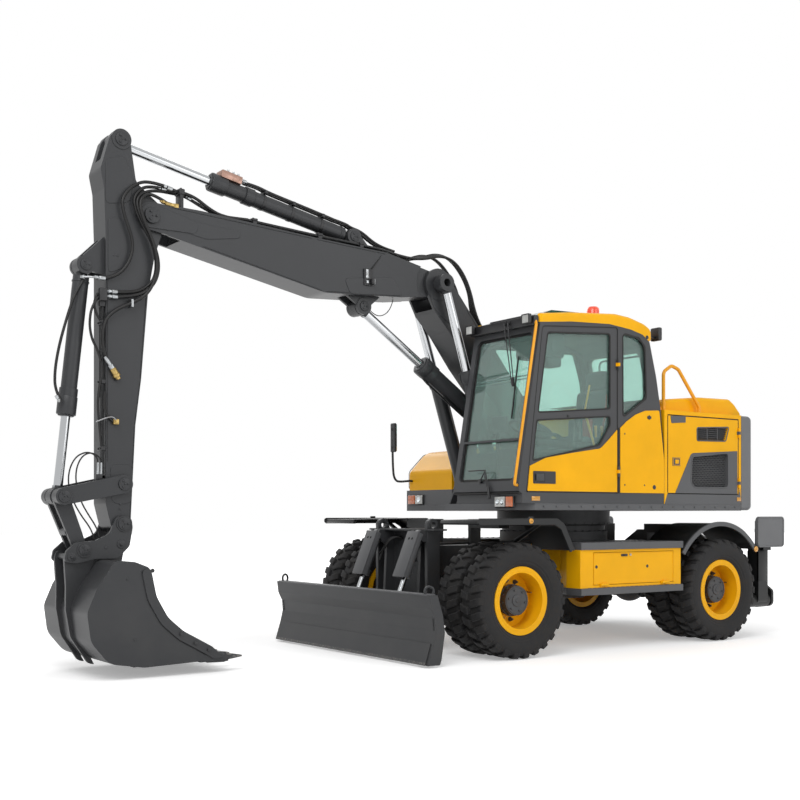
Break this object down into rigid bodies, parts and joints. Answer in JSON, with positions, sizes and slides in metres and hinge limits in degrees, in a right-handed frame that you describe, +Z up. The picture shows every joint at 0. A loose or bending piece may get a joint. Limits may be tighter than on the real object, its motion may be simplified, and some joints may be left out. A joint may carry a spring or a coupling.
{
  "type": "wheeled excavator",
  "caption": "Wheeled excavator with slewing cab and engine house, two-piece boom, arm, linked bucket, dozer blade and swing-down outriggers on twin-tyred axles.",
  "frame": {"origin": "on the ground under the middle of the whole machine as it stands at rest", "axes": "+X towards the bucket, +Y to the operator's left, +Z up; the slewing axis is 1.557 m behind the origin"},
  "size_m": [7.2829, 2.542, 4.265],
  "materials": {
    "bare_iron": "painted casting",
    "black_paint": "satin black enamel",
    "cab_trim": "textured dark trim",
    "chrome_rod": "polished hard chrome",
    "dark_paint": "satin charcoal enamel",
    "grey_paint": "satin grey enamel",
    "rim_paint": "gloss yellow enamel",
    "tinted_glass": "green tinted glass",
    "tyre_rubber": "moulded rubber",
    "yellow_paint": "gloss yellow enamel"
  },
  "bodies": {
    "chassis": {"chassis_frame": "yellow_paint", "front_axle": "black_paint", "rear_axle": "black_paint", "side_boxes": "yellow_paint", "running_boards": "black_paint", "front_fenders": "black_paint", "rear_fenders": "black_paint", "driveline": "bare_iron", "blade_bracket": "dark_paint", "outrigger_frame": "black_paint"},
    "left_steering": {"left_knuckle": "black_paint"},
    "right_steering": {"right_knuckle": "black_paint"},
    "front_left_wheel": {"front_left_rims": "rim_paint", "front_left_tyres": "tyre_rubber"},
    "front_right_wheel": {"front_right_rims": "rim_paint", "front_right_tyres": "tyre_rubber"},
    "rear_left_wheel": {"rear_left_rims": "rim_paint", "rear_left_tyres": "tyre_rubber"},
    "rear_right_wheel": {"rear_right_rims": "rim_paint", "rear_right_tyres": "tyre_rubber"},
    "toolbox": {"toolbox_door": "yellow_paint"},
    "blade": {"dozer_blade": "dark_paint"},
    "blade_barrel_pair": {"blade_barrels": "black_paint"},
    "blade_rod_pair": {"blade_rods": "chrome_rod"},
    "left_outrigger": {"left_outrigger_leg": "black_paint"},
    "left_leg_barrel": {"left_outrigger_barrel": "black_paint"},
    "left_leg_rod": {"left_outrigger_rod": "chrome_rod"},
    "right_outrigger": {"right_outrigger_leg": "black_paint"},
    "right_leg_barrel": {"right_outrigger_barrel": "black_paint"},
    "right_leg_rod": {"right_outrigger_rod": "chrome_rod"},
    "upper": {"platform": "dark_paint", "counterweight": "grey_paint", "engine_housing": "dark_paint", "engine": "bare_iron", "right_cover": "yellow_paint", "cab_shell": "dark_paint", "operator_station": "cab_trim", "cab_glass": "tinted_glass", "cab_panels": "yellow_paint", "cab_fittings": "black_paint"},
    "cab_door_leaf": {"cab_door": "yellow_paint", "door_glass": "tinted_glass"},
    "left_engine_cover": {"left_engine_door": "yellow_paint"},
    "right_engine_cover": {"right_engine_door": "yellow_paint"},
    "hood_lid": {"hood": "yellow_paint"},
    "boom_lower": {"lower_boom": "dark_paint"},
    "boom_upper": {"upper_boom": "dark_paint"},
    "dipper": {"arm": "dark_paint"},
    "bucket_group": {"bucket": "dark_paint", "quick_coupler": "dark_paint"},
    "rocker": {"side_links": "dark_paint"},
    "link": {"push_link": "dark_paint"},
    "lift_barrel_pair": {"lift_barrels": "dark_paint"},
    "lift_rod_pair": {"lift_rods": "chrome_rod"},
    "knee_cylinder": {"knee_barrel": "dark_paint"},
    "knee_piston": {"knee_rod": "chrome_rod"},
    "arm_cylinder": {"arm_barrel": "dark_paint"},
    "arm_piston": {"arm_rod": "chrome_rod"},
    "bucket_cylinder": {"bucket_barrel": "dark_paint"},
    "bucket_piston": {"bucket_rod": "chrome_rod"}
  },
  "joints": [
    {"name": "swing", "type": "hinge", "parent": "chassis", "child": "upper", "pos_m": [-1.5565, 0, 1.217], "axis": [0, 0, 1], "continuous": true},
    {"name": "left_steer", "type": "hinge", "parent": "chassis", "child": "left_steering", "pos_m": [-0.0565, 0.7, 0.503], "axis": [0, 0, 1], "range_deg": [-27, 27]},
    {"name": "front_left_spin", "type": "hinge", "parent": "left_steering", "child": "front_left_wheel", "pos_m": [-0.0565, 0.971, 0.503], "axis": [0, 1, 0], "continuous": true},
    {"name": "rear_left_spin", "type": "hinge", "parent": "chassis", "child": "rear_left_wheel", "pos_m": [-2.6565, 0.971, 0.503], "axis": [0, 1, 0], "continuous": true},
    {"name": "right_steer", "type": "hinge", "parent": "chassis", "child": "right_steering", "pos_m": [-0.0565, -0.7, 0.503], "axis": [0, 0, 1], "range_deg": [-27.01, 27.01]},
    {"name": "front_right_spin", "type": "hinge", "parent": "right_steering", "child": "front_right_wheel", "pos_m": [-0.0565, -0.971, 0.503], "axis": [0, 1, 0], "continuous": true},
    {"name": "rear_right_spin", "type": "hinge", "parent": "chassis", "child": "rear_right_wheel", "pos_m": [-2.6565, -0.971, 0.503], "axis": [0, 1, 0], "continuous": true},
    {"name": "blade_lift", "type": "hinge", "parent": "chassis", "child": "blade", "pos_m": [0.2935, 0, 0.43], "axis": [0, -1, 0], "range_deg": [-12, 30]},
    {"name": "blade_barrel_tilt", "type": "hinge", "parent": "chassis", "child": "blade_barrel_pair", "pos_m": [0.3785, 0, 1.06], "axis": [0, -1, 0], "range_deg": [-1.24, 3.08]},
    {"name": "blade_rod_slide", "type": "slide", "parent": "blade_barrel_pair", "child": "blade_rod_pair", "axis": [0.3884, 0, -0.9215], "range_m": [-0.1735, 0.06946]},
    {"name": "left_outrigger_swing", "type": "hinge", "parent": "chassis", "child": "left_outrigger", "pos_m": [-3.4065, 1.075, 0.36], "axis": [-1, 0, 0], "range_deg": [0, 115]},
    {"name": "left_leg_barrel_tilt", "type": "hinge", "parent": "chassis", "child": "left_leg_barrel", "pos_m": [-3.4065, 0.33, 0.88], "axis": [-1, 0, 0], "range_deg": [-0.01, 3.67]},
    {"name": "left_leg_rod_slide", "type": "slide", "parent": "left_leg_barrel", "child": "left_leg_rod", "axis": [0, 0.9247, -0.3808], "range_m": [-0.0001, 0.42419]},
    {"name": "right_outrigger_swing", "type": "hinge", "parent": "chassis", "child": "right_outrigger", "pos_m": [-3.4065, -1.075, 0.36], "axis": [1, 0, 0], "range_deg": [0, 115]},
    {"name": "right_leg_barrel_tilt", "type": "hinge", "parent": "chassis", "child": "right_leg_barrel", "pos_m": [-3.4065, -0.33, 0.88], "axis": [1, 0, 0], "range_deg": [-0.01, 3.67]},
    {"name": "right_leg_rod_slide", "type": "slide", "parent": "right_leg_barrel", "child": "right_leg_rod", "axis": [0, -0.9247, -0.3808], "range_m": [-0.0001, 0.42419]},
    {"name": "cab_door_swing", "type": "hinge", "parent": "upper", "child": "cab_door_leaf", "pos_m": [-1.2145, 1.258, 2.13], "axis": [0, 0, 1], "range_deg": [0, 95]},
    {"name": "left_engine_door_swing", "type": "hinge", "parent": "upper", "child": "left_engine_cover", "pos_m": [-2.9095, 1.258, 1.81], "axis": [0, 0, 1], "range_deg": [0, 95]},
    {"name": "right_engine_door_swing", "type": "hinge", "parent": "upper", "child": "right_engine_cover", "pos_m": [-2.9095, -1.258, 1.81], "axis": [0, 0, -1], "range_deg": [0, 95]},
    {"name": "hood_lift", "type": "hinge", "parent": "upper", "child": "hood_lid", "pos_m": [-1.8985, 0, 2.293], "axis": [0, 1, 0], "range_deg": [0, 60]},
    {"name": "toolbox_door_drop", "type": "hinge", "parent": "chassis", "child": "toolbox", "pos_m": [-1.4465, 1.243, 0.608], "axis": [-1, 0, 0], "range_deg": [0, 85]},
    {"name": "boom_lift", "type": "hinge", "parent": "upper", "child": "boom_lower", "pos_m": [-1.3065, 0, 1.8], "axis": [0, -1, 0], "range_deg": [-42, 28]},
    {"name": "lift_barrel_tilt", "type": "hinge", "parent": "upper", "child": "lift_barrel_pair", "pos_m": [-0.5965, 0, 1.48], "axis": [0, -1, 0], "range_deg": [-42.25, 28.17]},
    {"name": "lift_rod_slide", "type": "slide", "parent": "lift_barrel_pair", "child": "lift_rod_pair", "axis": [0.3102, 0, 0.9507], "range_m": [-0.53648, 0.35769]},
    {"name": "boom_knee", "type": "hinge", "parent": "boom_lower", "child": "boom_upper", "pos_m": [0.0265, 0, 3.389], "axis": [0, -1, 0], "range_deg": [-32, 28]},
    {"name": "knee_barrel_tilt", "type": "hinge", "parent": "boom_lower", "child": "knee_cylinder", "pos_m": [-0.7315, 0, 2.078], "axis": [0, -1, 0], "range_deg": [-8.39, 7.35]},
    {"name": "knee_rod_slide", "type": "slide", "parent": "knee_cylinder", "child": "knee_piston", "axis": [0.828, 0, 0.5608], "range_m": [-0.37319, 0.32655]},
    {"name": "arm_swing", "type": "hinge", "parent": "boom_upper", "child": "dipper", "pos_m": [2.8685, 0, 3.613], "axis": [0, 1, 0], "range_deg": [-55, 30]},
    {"name": "arm_barrel_tilt", "type": "hinge", "parent": "boom_upper", "child": "arm_cylinder", "pos_m": [0.9035, 0, 3.735], "axis": [0, 1, 0], "range_deg": [-5.96, 3.26]},
    {"name": "arm_rod_slide", "type": "slide", "parent": "arm_cylinder", "child": "arm_piston", "axis": [0.9797, 0, 0.2004], "range_m": [-0.52222, 0.28489]},
    {"name": "bucket_curl", "type": "hinge", "parent": "dipper", "child": "bucket_group", "pos_m": [3.0955, 0, 1.175], "axis": [0, 1, 0], "range_deg": [-65, 70]},
    {"name": "rocker_turn", "type": "hinge", "parent": "dipper", "child": "rocker", "pos_m": [3.0955, 0, 1.485], "axis": [0, 1, 0], "range_deg": [-48.88, 52.64]},
    {"name": "link_turn", "type": "hinge", "parent": "bucket_group", "child": "link", "pos_m": [3.4135, 0, 0.976], "axis": [0, 1, 0], "range_deg": [-47.64, 44.24]},
    {"name": "bucket_barrel_tilt", "type": "hinge", "parent": "dipper", "child": "bucket_cylinder", "pos_m": [3.3725, 0, 3.18], "axis": [0, 1, 0], "range_deg": [-4.14, 4.46]},
    {"name": "bucket_rod_slide", "type": "slide", "parent": "bucket_cylinder", "child": "bucket_piston", "axis": [0.1102, 0, -0.9939], "range_m": [-0.36182, 0.38965]}
  ],
  "couplings": [
    {"joint": "right_steer", "follows": "left_steer", "ratio": 1},
    {"joint": "blade_barrel_tilt", "follows": "blade_lift", "ratio": 0.10249},
    {"joint": "blade_rod_slide", "follows": "blade_lift", "m_per_rad": -0.33118},
    {"joint": "left_leg_barrel_tilt", "follows": "left_outrigger_swing", "ratio": 0.03187},
    {"joint": "left_leg_rod_slide", "follows": "left_outrigger_swing", "m_per_rad": 0.21129},
    {"joint": "right_leg_barrel_tilt", "follows": "right_outrigger_swing", "ratio": 0.03187},
    {"joint": "right_leg_rod_slide", "follows": "right_outrigger_swing", "m_per_rad": 0.21129},
    {"joint": "lift_barrel_tilt", "follows": "boom_lift", "ratio": 1.0057},
    {"joint": "lift_rod_slide", "follows": "boom_lift", "m_per_rad": 0.73172},
    {"joint": "knee_barrel_tilt", "follows": "boom_knee", "ratio": 0.26197},
    {"joint": "knee_rod_slide", "follows": "boom_knee", "m_per_rad": 0.66801},
    {"joint": "arm_barrel_tilt", "follows": "arm_swing", "ratio": 0.10817},
    {"joint": "arm_rod_slide", "follows": "arm_swing", "m_per_rad": 0.54391},
    {"joint": "rocker_turn", "follows": "bucket_curl", "ratio": 0.75184},
    {"joint": "link_turn", "follows": "bucket_curl", "ratio": -0.6804},
    {"joint": "bucket_barrel_tilt", "follows": "bucket_curl", "ratio": 0.0636},
    {"joint": "bucket_rod_slide", "follows": "bucket_curl", "m_per_rad": 0.31885}
  ]
}
